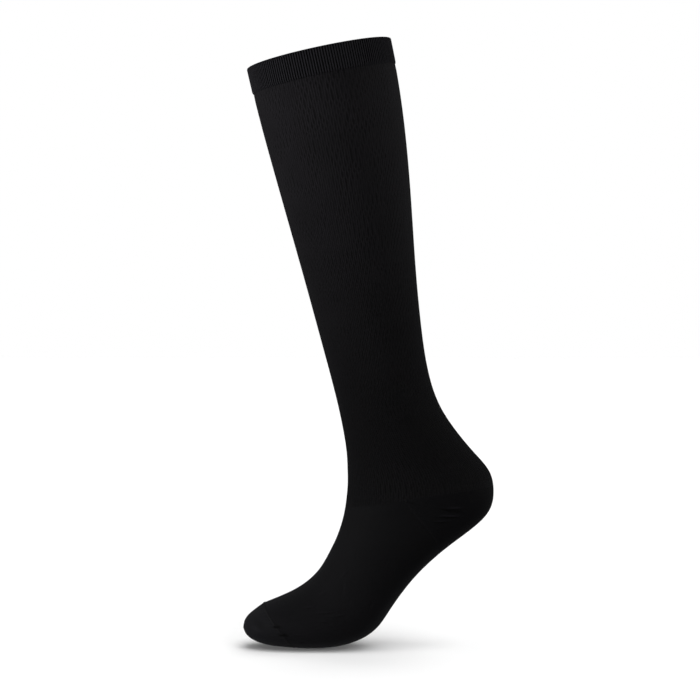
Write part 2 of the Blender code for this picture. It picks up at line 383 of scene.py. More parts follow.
def mathNode(tree, operation, first, second=None):
    node = tree.nodes.new("ShaderNodeMath")
    node.operation = operation
    for socket, value in zip(node.inputs, (first, second)):
        if value is None:
            continue
        if isinstance(value, (int, float)):
            socket.default_value = value
        else:
            tree.links.new(value, socket)
    return node.outputs[0]


def times(tree, first, second):
    return mathNode(tree, "MULTIPLY", first, second)


def plus(tree, first, second):
    return mathNode(tree, "ADD", first, second)


# Height of V-shaped stitches: each wale has two legs that slant to its middle, and each leg is
# the cosine of the course number plus the distance from that middle
def stitchHeight(tree, split):
    wale = mathNode(tree, "FRACT", times(tree, split.outputs["X"], knit["walesPerRib"]))
    side = mathNode(tree, "ABSOLUTE", mathNode(tree, "SUBTRACT", wale, 0.5))
    leg = times(tree, side, knit["stitchSlant"])
    slanted = mathNode(tree, "SUBTRACT", split.outputs["Y"], leg)
    loop = mathNode(tree, "COSINE", times(tree, slanted, fullTurn))
    rounded = times(tree, plus(tree, loop, 1.0), 0.5)
    groove = mathNode(tree, "SINE", times(tree, side, fullTurn))
    return times(tree, rounded, groove)


# Painted shade and stretch tone along the line from the closest place to the widest: the share of the way
# by dot product
def stretchAndShadeTone(tree, spot, name):
    close, wide, closeTone, wideTone = (np.array(value, float) for value in stretchAndShade[name])
    way = (wide - close) / ((wide - close) ** 2).sum()
    dot = tree.nodes.new("ShaderNodeVectorMath")
    dot.operation = "DOT_PRODUCT"
    dot.inputs[1].default_value = (way[0], 0, way[1])
    tree.links.new(spot.outputs["Object"], dot.inputs[0])
    share = mathNode(tree, "SUBTRACT", dot.outputs["Value"], float(close @ way))
    share.node.use_clamp = True
    scaled = times(tree, share, float(wideTone - closeTone))
    return plus(tree, scaled, float(closeTone))


def noiseNode(tree, vector, scale, detail):
    noise = tree.nodes.new("ShaderNodeTexNoise")
    setInputs(noise, {"Scale": scale, "Detail": detail})
    tree.links.new(vector, noise.inputs["Vector"])
    return noise.outputs["Fac"]


# Ribs that sway towards their neighbours and away again: the rib number is shifted by the sine
# of the course number times the cosine of the rib, and the ridge is the cosine's size
def ribLight(tree, split, spot, sway, swayCourses):
    drift = noiseNode(tree, spot.outputs["Object"], surface["driftScale"], 2)
    turns = times(tree, split.outputs["Y"], fullTurn / swayCourses)
    late = plus(tree, turns, times(tree, drift, surface["drift"]))
    swing = times(tree, mathNode(tree, "SINE", late), sway)
    alternate = mathNode(tree, "COSINE", times(tree, split.outputs["X"], np.pi))
    shifted = plus(tree, split.outputs["X"], times(tree, swing, alternate))
    wave = mathNode(tree, "COSINE", times(tree, shifted, np.pi))
    return mathNode(tree, "ABSOLUTE", wave)


# Base colour times a tone that grows with stitches, mottle, and painted shade and highlight of ribs
# and folds, and a bump of the stitches, fibres and ribs
def yarnMaterial(name):
    look = yarn[name]
    material = bpy.data.materials.new(name + "Yarn")
    material.use_nodes = True
    tree = material.node_tree
    shader = tree.nodes["Principled BSDF"]
    setInputs(shader, {"Specular IOR Level": surface["specular"], "Sheen Weight": look["sheen"],
                       "Sheen Roughness": surface["sheenRough"], "Sheen Tint": surface["sheenTint"]})
    spot = tree.nodes.new("ShaderNodeTexCoord")
    place = tree.nodes.new("ShaderNodeUVMap")
    place.uv_map = "knit"
    split = tree.nodes.new("ShaderNodeSeparateXYZ")
    tree.links.new(place.outputs["UV"], split.inputs[0])
    stitch = stitchHeight(tree, split)
    fibre = noiseNode(tree, spot.outputs["Object"], surface["fibreScale"], 3)
    cloud = noiseNode(tree, spot.outputs["Object"], surface["mottleScale"], 4)
    height = plus(tree, stitch, times(tree, fibre, surface["fibreBump"]))
    mottle = times(tree, cloud, surface["mottle"])
    mottle = plus(tree, mottle, surface["evenTone"])
    tone = plus(tree, times(tree, stitch, surface["stitchTone"]), mottle)
    # ribbed yarns: the sway shows in patches, with painted shade in the grooves and painted highlight on
    # the ribs
    if look["ribs"] > 0:
        ridge = ribLight(tree, split, spot, look["sway"], look["swayCourses"])
        streak = mathNode(tree, "POWER", ridge, surface["ribEdge"])
        patch = noiseNode(tree, spot.outputs["Object"], surface["patchScale"], 3)
        within = mathNode(tree, "SUBTRACT", patch, look["patchFrom"])
        shown = times(tree, within, surface["patchEdge"])
        shown.node.use_clamp = True
        strength = times(tree, shown, look["ribs"])
        centred = mathNode(tree, "SUBTRACT", streak, surface["ribMiddle"])
        tone = plus(tree, tone, times(tree, centred, strength))
        height = plus(tree, height, times(tree, streak, look["ribBump"]))
    # painted shading: highlight on crests, shade in troughs, at the welt's turned edge and the slack
    # stitches, and a painted sheen above the heel
    paintedShading = tree.nodes.new("ShaderNodeAttribute")
    paintedShading.attribute_name = "paintedShading"
    paintedLightAndShade = times(tree, paintedShading.outputs["Fac"], look["paintedFoldShading"])
    tone = plus(tree, tone, paintedLightAndShade)
    bump = tree.nodes.new("ShaderNodeBump")
    setInputs(bump, {"Strength": look["bump"], "Distance": surface["bumpDepth"] * mm})
    tree.links.new(height, bump.inputs["Height"])
    tree.links.new(bump.outputs["Normal"], shader.inputs["Normal"])
    ramp = tree.nodes.new("ShaderNodeMapRange")
    setInputs(ramp, {"From Min": surface["toneRange"][0], "From Max": surface["toneRange"][1],
                     "To Min": surface["darkLift"], "To Max": look["lift"]})
    ramp.clamp = False
    tree.links.new(tone, ramp.inputs["Value"])
    bright = mathNode(tree, "MAXIMUM", ramp.outputs["Result"], surface["darkest"])
    # painted shade towards the ankle, instep and back of the heel, partly the look of stretched knit
    shade = times(tree, bright, stretchAndShadeTone(tree, spot, name))
    toned = tree.nodes.new("ShaderNodeVectorMath")
    toned.operation = "SCALE"
    toned.inputs[0].default_value = look["colour"]
    tree.links.new(shade, toned.inputs["Scale"])
    tree.links.new(toned.outputs["Vector"], shader.inputs["Base Color"])
    grain = times(tree, fibre, surface["fibreRough"])
    rough = plus(tree, grain, look["rough"] - surface["fibreRough"] / 2)
    tree.links.new(rough, shader.inputs["Roughness"])
    return material


materials = {name: yarnMaterial(name) for name in yarn}
print("yarns ready:", ", ".join(materials))


welt = {
    "sheet": 0.8,          # thickness of one layer, mm
    "outerLayer": 0.0,     # middle of the outer layer, mm out from the form
    "innerLayer": -1.2,
    "stand": 0.5,          # how far the fold stands above the opening's line
    "paintedFoldShading": 0.35,      # painted shade along the turned edge, by this much
    "ribHeight": 0.70,
    "ribSink": 0.5,        # share of the ribs' height that lies below the form
    "seamDip": 0.35,       # how deep the outer layer is drawn in at the seam
    "seamReach": 0.9,
    "foldFrom": 0.3,       # how far below the opening the fold's painted shade is deepest
    "foldReach": 1.1,
    "outsideRows": (20, 7, 7),       # on the outer layer, over the fold and on the inner layer
    "insideRows": (4, 4, 3),
    "columnsPerRib": 6,
}


# The welt's path from the seam up its outside, round the fold and down its inside: for each
# point its place along the tube, its distance out, and the sheet's own outward direction
def weltPath(outerRows, foldRows, innerRows):
    radius = (welt["outerLayer"] - welt["innerLayer"]) / 2
    middle = (welt["outerLayer"] + welt["innerLayer"]) / 2
    arc = np.linspace(0, np.pi, foldRows + 2)[1:-1]
    up = np.linspace(weltSeamPlace, radius + welt["sheet"] / 2 - welt["stand"], outerRows)
    down = up[0] + (up[-1] - up[0]) * np.linspace(1, 0, innerRows)
    place = np.concatenate([up, up[-1] - radius * np.sin(arc), down])
    out = np.concatenate([np.full(outerRows, welt["outerLayer"]), middle + radius * np.cos(arc),
                          np.full(innerRows, welt["innerLayer"])])
    turned = np.concatenate([np.zeros(outerRows), arc, np.full(innerRows, np.pi)])
    return place, out, turned


# Both faces of the sheet lie half its thickness either side of the path, and the outer layer
# carries the ribs, which shrink over the fold and at the seam
def makeWelt():
    columns = knit["ribs"] * welt["columnsPerRib"]
    turn = np.arange(columns) / columns * fullTurn
    skins, places = [], []
    for side, rows in ((1, "outsideRows"), (-1, "insideRows")):
        place, out, turned = weltPath(*welt[rows])
        half = welt["sheet"] / 2 * side
        place = place - half * np.sin(turned)
        shown = np.clip(np.cos(turned), 0, 1)
        dip = bell(weltSeamPlace - place, welt["seamReach"]) * (turned == 0)
        ribs = ribHeight(turn[None, :], welt["ribHeight"]) * (shown * (1 - dip))[:, None]
        ribs = ribs - welt["ribHeight"] * welt["ribSink"] * shown[:, None]
        height = (out + half * np.cos(turned) - welt["seamDip"] * dip)[:, None] + ribs
        wide = np.broadcast_to(place[:, None], height.shape)
        around = np.broadcast_to(turn[None, :], height.shape)
        # over the fold the sheet stands above the opening, where the form is carried straight on
        base = tubePoint(np.maximum(wide, 0), around)
        along, _, outward = tubeAxes(np.maximum(wide, 0), around)
        points = base + along * np.minimum(wide, 0)[..., None] + outward * height[..., None]
        skins.append(points[::side])
        places.append(wide[::side])
    points, place = np.concatenate(skins)[::-1], np.concatenate(places)[::-1]
    courses = place / knit["courseHeight"]
    quads, knitMap = gridFaces(len(points), columns, walesOf(turn), courses, True, True)
    # painted shade along the welt's turned edge
    shade = -welt["paintedFoldShading"] * bell(place - welt["foldFrom"], welt["foldReach"])
    mesh = meshOf("cuffWelt", points.reshape(-1, 3), quads, knitMap, paintedShading=shade)
    return pieceOf("cuffWelt", mesh, materials["welt"], "cuff_yarn", "cuff")


cuffWelt = makeWelt()


# Rows of one skin, then of the other the opposite way. A cap's start and end at its tip.
def outAndBack(outer, inner, cap):
    return np.concatenate([outer[::-1], inner] if cap else [outer, inner[::-1]])


# A wall between an outer and an inner grid of points. Rows run out and back again, so that the
# edges close by themselves. A tube closes round too, a pocket gets a strip at each side, and a
# cap two fans at its tip.
def wallMesh(name, outer, inner, courses, innerCourses, turn, paintedShading, tips=None, pocket=False):
    columns = len(turn)
    cap = tips is not None
    points = outAndBack(outer, inner, cap)
    rows = outAndBack(courses, innerCourses, cap)
    foldsAndShading = outAndBack(paintedShading, np.zeros(innerCourses.shape), cap)
    wales = turn / fullTurn * knit["ribs"] if pocket else walesOf(turn)
    quads, knitMap = gridFaces(len(points), columns, wales, rows, not cap, not pocket)
    corners = points.reshape(-1, 3)
    triangles = triangleMap = None
    if pocket:
        r = np.arange(len(outer) - 1)
        last = len(points) - 1
        for column, ahead in ((0, 0), (columns - 1, 1)):
            strip = [r, last - r, last - r - 1, r + 1] if ahead else [r, r + 1, last - r - 1, last - r]
            numbers = np.stack(strip, axis=-1)
            quads = np.vstack([quads, numbers * columns + column])
            v = rows[numbers, column]
            knitMap = np.vstack([knitMap, np.stack([np.full(v.shape, wales[column]), v], axis=-1)])
    if cap:
        quads, knitMap = quads[:, ::-1], knitMap[:, ::-1]
        c = np.arange(columns)
        after = (c + 1) % columns
        edge = len(corners) - columns
        near = np.stack([c, np.full(columns, len(corners)), after], axis=-1)
        far = np.stack([edge + after, np.full(columns, len(corners) + 1), edge + c], axis=-1)
        triangles = np.concatenate([near, far])[:, ::-1]
        corners = np.vstack([corners, tips])
        v = courses[-1].mean()
        spread = np.stack([wales[c], (wales[c] + wales[c + 1]) / 2, wales[c + 1]], axis=-1)
        triangleMap = np.stack([spread, np.broadcast_to([v, v + 1, v], spread.shape)], axis=-1)
        triangleMap = np.concatenate([triangleMap, triangleMap])
    return meshOf(name, corners, quads, knitMap, triangles, triangleMap, foldsAndShading)


# Rows of places from one edge to the other, crowded towards the second by a parabola
def placesBetween(first, last, turn, count, crowd=0.0):
    share = np.linspace(0, 1, count)[:, None]
    share = share + crowd * share * (1 - share)
    return first(turn) * (1 - share) + last(turn) * share


# A point of the form, moved out by a height
def raised(place, turn, height):
    return tubePoint(place, turn) + tubeAxes(place, turn)[2] * height[..., None]


# The outer rows carry the relief, and the inner rows are fewer and plain
def makeTube(name, first, last, size, columns, relief, foldsAndShading, crowd=0.0):
    turn = np.arange(columns) / columns * fullTurn
    place = placesBetween(first, last, turn, size["rows"], crowd)
    around = np.broadcast_to(turn, place.shape)
    outer = raised(place, around, relief(place, around))
    within = placesBetween(first, last, turn, size["innerRows"])
    inner = raised(within, np.broadcast_to(turn, within.shape), np.full(within.shape, -size["wall"]))
    courses, innerCourses = place / knit["courseHeight"], within / knit["courseHeight"]
    return wallMesh(name, outer, inner, courses, innerCourses, turn, foldsAndShading(place, around))


leg = {
    "wall": 1.2,
    "ribHeight": 0.26,
    "columnsPerRib": 5,
    "rows": 88,
    "rowCrowd": 0.3,       # how much closer the rows are towards the heel
    "innerRows": 20,
    "edgeDip": 0.22,       # how far the cloth is drawn in at the welt
    "edgeReach": 1.4,
    "ribFade": 7.0,        # the ribs sink over this length above the instep and heel
    "ribSink": 0.6,        # share of the ribs' height that lies below the form
    "paintedHeelSheen": 0.35,      # painted sheen where the knit is stretched over the heel
    "sheenReach": 7.0,
    "sheenNarrow": 3,       # the power that keeps the painted sheen at the back
}

legCreases = (
    (7.3, 252, 16, 1.6, 0.20, 8),
    (8.0, 285, 12, 1.4, 0.16, -10),
    (6.6, 236, 12, 1.5, 0.15, 14),
    (11.2, 310, 14, 1.5, 0.22, -6),
    (11.9, 328, 12, 1.3, 0.22, 5),
    (7.5, 98, 15, 1.6, 0.20, -9),
    (11.4, 45, 14, 1.4, 0.22, 8),
    (8.4, 70, 12, 1.4, 0.15, 12),
)


def legFolds(place, turn):
    return creaseHeight(place, turn, legCreases)


# Painted shading of the folds, and a painted sheen that is a bell curve from the heel's edge times a
# power of its opening
def legPaintedShading(place, turn):
    near = bell(legEdge(turn) - place, leg["sheenReach"])
    return legFolds(place, turn) + leg["paintedHeelSheen"] * near * heelOpening(turn) ** leg["sheenNarrow"]


# Ribs that sink where the cloth is drawn in by the welt and where plain knit begins below
def legRelief(place, turn):
    top = bell(place - weltSeamPlace, leg["edgeReach"])
    fade = bell(legEdge(turn) - place, leg["ribFade"])
    ribs = ribHeight(turn, leg["ribHeight"]) - leg["ribHeight"] * leg["ribSink"]
    return ribs * (1 - fade) - leg["edgeDip"] * top + legFolds(place, turn)


def seamLine(turn):
    return np.full_like(turn, weltSeamPlace)


legMesh = makeTube("legTube", seamLine, legEdge, leg, knit["ribs"] * leg["columnsPerRib"],
                   legRelief, legPaintedShading, leg["rowCrowd"])
legTube = pieceOf("legTube", legMesh, materials["leg"], "leg_yarn", "leg")

# The toe seam's slack stitches, where the seam sinks and foot and toe get painted shade
slackStitches = {
    "at": (284, 264, 77, 96),         # degrees from the front
    "reach": 2.4,
    "depth": 0.9,                     # how far the seam sinks there, mm
    "shade": 1.8,                     # how strong the painted shade on the cloth is
    "shadeReach": 1.5,
    "cordShade": 4.0,                 # how strong the painted shade on the cord is
}


# How slack the seam is: a bell curve round each slack stitch
def slackness(turn):
    off = np.degrees(turn % fullTurn)[..., None] - np.array(slackStitches["at"])
    return bell(off, slackStitches["reach"]).sum(axis=-1)


# Painted shade on the cloth: bell curves round them
def slackShade(place, turn):
    near = bell(place - toeSeamPlace, slackStitches["shadeReach"])
    return -slackStitches["shade"] * slackness(turn) * near


foot = {
    "wall": 1.2,
    "columns": 444,
    "rows": 120,
    "innerRows": 24,
    "goreDip": 0.12,       # how far the cloth is drawn in along the heel pocket
    "dipRise": 4,          # how soon that dip is full, going back from the gore tips
    "edgeDip": 0.22,       # and at the toe seam
    "edgeReach": 1.2,
}

footCreases = (
    (19.25, 290, 15, 0.8, 0.55, 51),
    (19.5, 307, 8, 0.8, 0.50, 56),
    (19.7, 280, 7, 0.8, 0.45, 55),
    (18.95, 276, 10, 0.8, 0.45, 52),
    (21.2, 265, 7, 0.7, 0.40, 73),
    (21.4, 247, 7, 0.7, 0.40, 98),
    (21.70, 284, 5, 1.5, -0.70, 0),
    (21.70, 264, 5, 1.5, -0.75, 0),
    (21.70, 77, 5, 1.5, -0.65, 0),
    (21.70, 96, 5, 1.5, -0.70, 0),
    (18.2, 311, 8, 0.9, 0.30, 70),
    (17.4, 294, 10, 1.0, 0.30, -60),
    (16.6, 304, 10, 1.0, 0.25, 80),
    (17.7, 252, 9, 0.9, 0.30, -80),
    (19.1, 72, 13, 0.8, 0.55, -49),
    (19.6, 84, 8, 0.8, 0.50, -57),
    (18.8, 60, 8, 0.8, 0.40, -52),
    (21.0, 97, 7, 0.7, 0.40, -75),
    (18.0, 52, 9, 0.9, 0.30, -68),
    (17.2, 66, 10, 1.0, 0.25, 62),
)


def footFolds(place, turn):
    return creaseHeight(place, turn, footCreases)


# Painted shading of the folds, and painted shade at the slack stitches
def footPaintedShading(place, turn):
    return footFolds(place, turn) + slackShade(place, turn)


# Folds, drawn in by bell curves along the heel pocket's edge and the toe seam
def footRelief(place, turn):
    behind = np.clip(heelOpening(turn) * foot["dipRise"], 0, 1)
    top = bell(place - footEdge(turn), foot["edgeReach"]) * behind
    bottom = bell(toeSeamPlace - place, foot["edgeReach"])
    return footFolds(place, turn) - foot["goreDip"] * top - foot["edgeDip"] * bottom


def toeLine(turn):
    return np.full_like(turn, toeSeamPlace)


footMesh = makeTube("footTube", footEdge, toeLine, foot, foot["columns"], footRelief, footPaintedShading)
footTube = pieceOf("footTube", footMesh, materials["foot"], "foot_yarn", "foot")


heel = {
    "wall": 1.5,
    "columns": 240,
    "rows": 90,
    "goreLine": 0.37,      # where the gore line runs, as a share of the way down the pocket
    "goreDepth": 0.5,      # mm
    "goreWidth": 0.7,
    "goreTips": 79,        # the line is deep near here, in degrees from the front
    "tipDepth": 0.22,      # as a share of goreDepth
    "tipReach": 4,         # degrees
    "faintDepth": 0.05,
    "goreMiddle": 112,     # and deepest here
    "middleReach": 7,
    "columnCrowd": 0.10,   # how much closer the columns are at the tips
    "tipMargin": 0.004,    # from the gore tips to the pocket's sides, in radians
    "edgeDip": 0.12,
    "edgeReach": 0.9,
}

heelCreases = (
    (11.98, 247, 13, 0.8, 0.50, 3),
    (12.42, 248, 17, 0.8, 0.60, 4),
    (12.75, 252, 12, 0.8, 0.35, 10),
    (12.02, 112, 12, 0.8, 0.50, -4),
    (12.45, 109, 16, 0.8, 0.55, -5),
)


# The gore line is a groove with a bell curve across it. It starts at each tip, is faint for a
# stretch, then deep between two puckers: its depth is two more bell curves and a constant.
def heelFolds(place, turn):
    upper, lower = legEdge(turn), footEdge(turn)
    off = place - upper * (1 - heel["goreLine"]) - lower * heel["goreLine"]
    fromFront = np.degrees(np.abs((turn + np.pi) % fullTurn - np.pi))
    start = heel["tipDepth"] * bell(fromFront - heel["goreTips"], heel["tipReach"]) + heel["faintDepth"]
    middle = bell(fromFront - heel["goreMiddle"], heel["middleReach"])
    depth = start * (fromFront < heel["goreMiddle"]) + middle
    line = -heel["goreDepth"] * depth * bell(off, heel["goreWidth"])
    return line + creaseHeight(place, turn, heelCreases)


# Folds, drawn in by bell curves along both edges
def heelRelief(place, turn):
    upper = bell(place - legEdge(turn), heel["edgeReach"])
    edges = upper + bell(place - footEdge(turn), heel["edgeReach"])
    return heelFolds(place, turn) - heel["edgeDip"] * edges


# The pocket's grid runs from its upper edge to its lower one, and its columns crowd towards the
# tips by a sine. The groove goes through to its inner skin.
def makeHeel():
    tip = np.radians(joins["goreAngle"])
    share = np.linspace(0, 1, heel["columns"])
    share = share - heel["columnCrowd"] * np.sin(share * fullTurn) / np.pi
    start = tip + heel["tipMargin"]
    turn = start + (fullTurn - 2 * start) * share
    place = placesBetween(legEdge, footEdge, turn, heel["rows"])
    around = np.broadcast_to(turn, place.shape)
    foldsAndShading = heelFolds(place, around)
    outer = raised(place, around, heelRelief(place, around))
    inner = raised(place, around, np.minimum(foldsAndShading, 0) - heel["wall"])
    courses = place / knit["courseHeight"]
    # the folds and the gore line also give the pocket its painted highlight and shade
    mesh = wallMesh("heelPocket", outer, inner, courses, courses, turn, foldsAndShading, pocket=True)
    return pieceOf("heelPocket", mesh, materials["heel"], "heel_yarn", "heel")


heelPocket = makeHeel()

toe = {
    "wall": 1.5,
    "columns": 296,
    "rows": 56,
    "pucker": 0.16,        # gathers along the seam
    "puckers": 46,
    "puckerDrift": 2.1,    # their spacing is uneven by this, in radians
    "driftWaves": 3,
    "puckerReach": 5.0,
    "tipRoom": 0.45,       # the wall thins to this share of the depth near the tip
    "edgeDip": 0.25,
    "edgeReach": 1.2,
}


toeCreases = (
    (22.15, 338, 7, 0.8, 0.35, 60),
    (22.8, 291, 13, 4.5, -0.30, 30),
    (22.2, 25, 7, 0.8, 0.35, -55),
    (22.7, 66, 12, 4.5, -0.30, -25),
)


# Small gathers round the seam, a cosine of uneven spacing, that fade away from it by a bell curve
def toeFolds(place, turn):
    away = place - toeSeamPlace
    drift = toe["puckerDrift"] * np.sin(toe["driftWaves"] * turn)
    gathers = toe["pucker"] * np.cos(toe["puckers"] * turn + drift)
    return gathers * bell(away, toe["puckerReach"]) + creaseHeight(place, turn, toeCreases)


# Gathers, drawn in by a bell curve along the seam
def toeRelief(place, turn):
    edge = bell(place - toeSeamPlace, toe["edgeReach"])
    return toeFolds(place, turn) - toe["edgeDip"] * edge


# The cap's grid runs from the seam to the tip in even steps, and a fan closes it there
def makeToe():
    turn = np.arange(toe["columns"]) / toe["columns"] * fullTurn
    share = np.linspace(0, 1, toe["rows"] + 1)[:-1, None]
    place = toeSeamPlace * (1 - share) + lastPlace * share + 0 * turn
    around = np.broadcast_to(turn, place.shape)
    outer = raised(place, around, toeRelief(place, around))
    # the inner skin stops short of the tip by the wall
    inward = toeSeamPlace * (1 - share) + (lastPlace - toe["wall"]) * share + 0 * turn
    room = np.minimum(toe["wall"], toe["tipRoom"] * splineAt("depth", inward))
    inner = raised(inward, around, -room)
    tips = np.array([tubePoint(lastPlace, 0.0), inner[-1].mean(axis=0)])
    courses = place / knit["courseHeight"]
    # painted shading of the gathers and creases, and painted shade at the slack stitches
    tone = toeFolds(place, around) + slackShade(place, around)
    mesh = wallMesh("toeCap", outer, inner, courses, courses, turn, tone, tips)
    return pieceOf("toeCap", mesh, materials["toe"], "toe_yarn", "toe")


toeCap = makeToe()


# width and height in mm
toeCord = {
    "width": 1.9,
    "height": 0.75,
    "stitches": 120,
    "relief": 0.16,
    "slant": 1.3,          # how far a stitch's swelling runs ahead across the cord, in radians
    "topHeight": 1.0,      # height over the toes and under the sole, as shares
    "soleHeight": 0.44,
    "lift": 0.15,
    "courses": 2,          # rows of knit for each radian round the cord
    "steps": 1200,
    "sides": 14,
}


# A flat cord over the seam: an oval profile carried round the toe, swelling by a cosine at each
# slanted stitch, lower under the sole and sunk at the slack stitches
def makeToeSeam():
    turn = np.arange(toeCord["steps"]) / toeCord["steps"] * fullTurn
    spin = np.arange(toeCord["sides"]) / toeCord["sides"] * fullTurn
    place = np.full_like(turn, toeSeamPlace)
    along, _, out = tubeAxes(place, turn)
    base = tubePoint(place, turn)
    phase = toeCord["stitches"] * turn[:, None] + toeCord["slant"] * np.cos(spin)
    swell = 1 + toeCord["relief"] * np.cos(phase)
    slack = slackness(turn)
    middle = (toeCord["topHeight"] + toeCord["soleHeight"]) / 2
    tall = (middle + (toeCord["topHeight"] - middle) * np.cos(turn))[:, None]
    base = base - out * (slackStitches["depth"] * slack)[:, None]
    aside = np.cos(spin) * toeCord["width"] / 2 * swell
    up = (np.sin(spin) * swell + toeCord["lift"]) * toeCord["height"] / 2 * tall
    points = base[:, None] + along[:, None] * aside[..., None] + out[:, None] * up[..., None]
    courses = np.broadcast_to(spin * toeCord["courses"], aside.shape)
    wales = np.append(turn, fullTurn) / fullTurn * toeCord["stitches"]
    quads, knitMap = gridFaces(toeCord["sides"], toeCord["steps"], wales, courses.T, True, True)
    corners = points.transpose(1, 0, 2).reshape(-1, 3)
    # painted shade on the cord at the slack stitches
    shade = np.broadcast_to(-slackStitches["cordShade"] * slack, (toeCord["sides"], toeCord["steps"]))
    mesh = meshOf("toeSeam", corners, quads[:, ::-1], knitMap[:, ::-1], paintedShading=shade)
    return pieceOf("toeSeam", mesh, materials["thread"], "toe_yarn")


toeSeamCord = makeToeSeam()

stitchShape = {"rings": 5, "sides": 8, "knitShown": 0.5}      # the last in ribs and courses a face


# Many small grains in one mesh: each is an egg with its length along one direction, its width
# along another and its height along a third
def grains(name, centres, lengthWays, widthWays, upWays, material, slot):
    rings, sides, shown = stitchShape.values()
    tilt = np.linspace(0, np.pi, rings + 2)[1:-1]
    spin = np.arange(sides) / sides * fullTurn
    ring = np.sin(tilt)[:, None]
    ends = np.cos(tilt)[:, None] + 0 * spin
    shape = np.stack([ends, ring * np.cos(spin), ring * np.sin(spin)], axis=-1).reshape(-1, 3)
    shape = np.vstack([shape, [[1, 0, 0], [-1, 0, 0]]])
    axes = np.stack([lengthWays, widthWays, upWays], axis=1)
    corners = (centres[:, None] + shape @ axes).reshape(-1, 3)
    flat = np.zeros((rings, sides))
    quads, _ = gridFaces(rings, sides, np.arange(sides + 1), flat, False, True)
    c = np.arange(sides)
    near = np.stack([c, np.full(sides, rings * sides), (c + 1) % sides], axis=-1)
    far = np.stack([(rings - 1) * sides + c, (rings - 1) * sides + (c + 1) % sides,
                    np.full(sides, rings * sides + 1)], axis=-1)
    first = (np.arange(len(centres)) * len(shape))[:, None, None]
    quads = (quads + first).reshape(-1, 4)
    triangles = (np.concatenate([near, far]) + first).reshape(-1, 3)
    quadMap = np.tile([[0, 0], [1, 0], [1, 1], [0, 1]], (len(quads), 1, 1)) * shown
    triangleMap = np.tile([[0, 0], [1, 0], [0.5, 1]], (len(triangles), 1, 1)) * shown
    mesh = meshOf(name, corners, quads[:, ::-1], quadMap, triangles[:, ::-1], triangleMap)
    return pieceOf(name, mesh, material, slot)


# Stitches on a line of places and turns, each turned from the line by its slant in degrees
def stitchLine(name, place, turn, line, slant, stitch, slot):
    out = tubeAxes(place, turn)[2]
    cross = np.cross(out, line)
    tilt = np.radians(slant)[:, None]
    lengthWays = (line * np.cos(tilt) + cross * np.sin(tilt)) * stitch["length"] / 2
    widthWays = np.cross(out, unit(lengthWays)) * stitch["width"] / 2
    centres = tubePoint(place, turn) + out * stitch["lift"]
    upWays = out * stitch["height"] / 2
    return grains(name, centres, lengthWays, widthWays, upWays, materials["thread"], slot)


# Directions along a line, from the differences between its points
def lineWays(place, turn):
    return unit(np.gradient(tubePoint(place, turn), axis=0))


# Sizes in mm. lift is how far a stitch's middle lies out from the form, and a tack takes its
# direction from a little ahead, in radians.
goreStitch = {"pitch": 1.7, "length": 1.5, "width": 0.55, "height": 0.5, "lift": -0.18, "slant": 62.0}
tackStitch = {"length": 2.4, "width": 0.6, "height": 0.5, "lift": 0.08, "ahead": 0.01}
weltStitch = {"perRib": 2, "length": 1.1, "width": 0.45, "height": 0.5, "lift": -0.55, "slant": 35.0}


gaugePoints = 4000         # a line is measured in this many steps


# Turns spaced evenly along a line, from its length added up in fine steps
def evenTurns(edge, low, high, pitch):
    fine = np.linspace(low, high, gaugePoints)
    steps = np.linalg.norm(np.diff(tubePoint(edge(fine), fine), axis=0), axis=1)
    travelled = np.concatenate([[0], np.cumsum(steps)])
    count = int(travelled[-1] / pitch)
    return np.interp((np.arange(count) + 0.5) * pitch, travelled, fine)


goreStart = np.radians(joins["goreAngle"])
upperGore = evenTurns(legEdge, goreStart, fullTurn - goreStart, goreStitch["pitch"])
lowerGore = evenTurns(footEdge, goreStart, fullTurn - goreStart, goreStitch["pitch"])
gorePlace = np.concatenate([legEdge(upperGore), footEdge(lowerGore)])
goreTurn = np.concatenate([upperGore, lowerGore])
goreSlant = goreStitch["slant"] * np.repeat([1.0, -1.0], [len(upperGore), len(lowerGore)])
goreLinking = stitchLine("goreLinking", gorePlace, goreTurn, lineWays(gorePlace, goreTurn), goreSlant,
                         goreStitch, "heel_yarn")

# a bar of short stitches closes each gore tip: section and degrees from the front
tacks = np.array([(11.66, 75.2), (11.70, 75.7), (11.74, 75.3), (11.78, 75.8), (12.20, 81), (12.26, 82.5)])
tackPlace = np.tile(placeOf(tacks[:, 0]), 2)
tackTurn = np.radians(np.concatenate([tacks[:, 1], 360 - tacks[:, 1]]))
tackWays = tubeAxes(tackPlace, tackTurn + tackStitch["ahead"])[1]
goreTacks = stitchLine("goreTacks", tackPlace, tackTurn, tackWays, np.zeros(len(tackTurn)), tackStitch,
                       "heel_yarn")

weltCount = knit["ribs"] * weltStitch["perRib"]
weltTurn = (np.arange(weltCount) + 0.5) / weltCount * fullTurn
weltPlace = seamLine(weltTurn)
weltLinking = stitchLine("weltLinking", weltPlace, weltTurn, lineWays(weltPlace, weltTurn),
                         np.full(weltCount, weltStitch["slant"]), weltStitch, "cuff_yarn")

clothPieces = [cuffWelt, legTube, heelPocket, footTube, toeCap, toeSeamCord]
clothPieces += [goreLinking, goreTacks, weltLinking]


low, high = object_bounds()
middle = [(a + b) / 2 for a, b in zip(low, high)]

